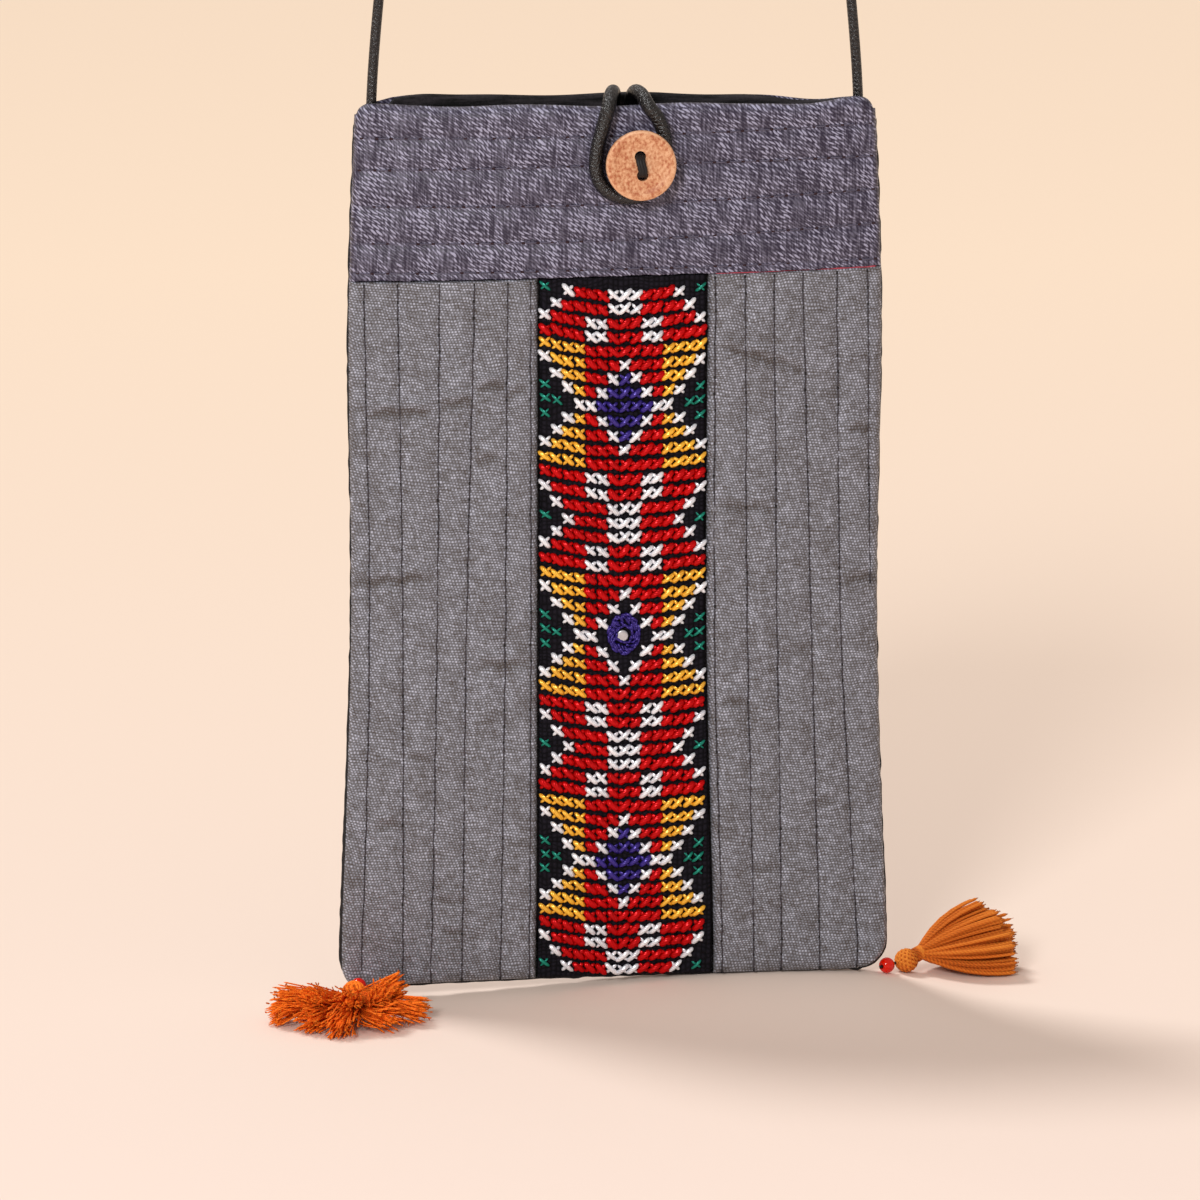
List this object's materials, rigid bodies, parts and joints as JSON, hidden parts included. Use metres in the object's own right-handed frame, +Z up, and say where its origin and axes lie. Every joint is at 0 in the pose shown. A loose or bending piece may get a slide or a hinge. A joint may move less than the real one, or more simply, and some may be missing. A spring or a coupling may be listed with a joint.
{
  "type": "phone sling bag",
  "caption": "Flat quilted cloth pouch for a phone, with a cross-stitched front strip, a button and loop closure, a long cord strap and a tassel at each lower corner.",
  "frame": {"origin": "the top of the strap's loop, on the cord's centre line, where the bag hangs", "axes": "+Z up along the hanging strap, the embroidered front faces -Y, +X to the right of someone looking at the front"},
  "size_m": [0.1687, 0.0537, 0.6949],
  "materials": {
    "panel_cloth": "plain-woven grey silk and cotton, quilted",
    "band_cloth": "purple-grey twill, quilted",
    "strip_cloth": "black cotton under cross-stitch in thick floss",
    "lining_cloth": "black cotton",
    "satin_cord": "round black satin cord with a soft gloss",
    "button_wood": "turned tan wood, satin",
    "black_thread": "matt black thread",
    "mirror_glass": "small silvered mirror, worn",
    "red_glass": "clear red glass, glossy",
    "tassel_yarn_left": "twisted orange yarn, matt",
    "tassel_yarn_right": "twisted golden-brown yarn, matt"
  },
  "bodies": {
    "root": {"front_panel_left": "panel_cloth", "front_panel_right": "panel_cloth", "back_panel": "panel_cloth", "embroidered_strip": "strip_cloth", "front_band": "band_cloth", "back_band": "band_cloth", "lining": "lining_cloth", "shoulder_strap": "satin_cord", "button_loop": "satin_cord", "button": "button_wood", "button_thread": "black_thread", "mirror_disc": "mirror_glass", "bead_left": "red_glass", "bead_right": "red_glass", "tassel_thread_left": "black_thread", "tassel_thread_right": "black_thread", "tassel_left": "tassel_yarn_left", "tassel_right": "tassel_yarn_right"}
  },
  "joints": []
}
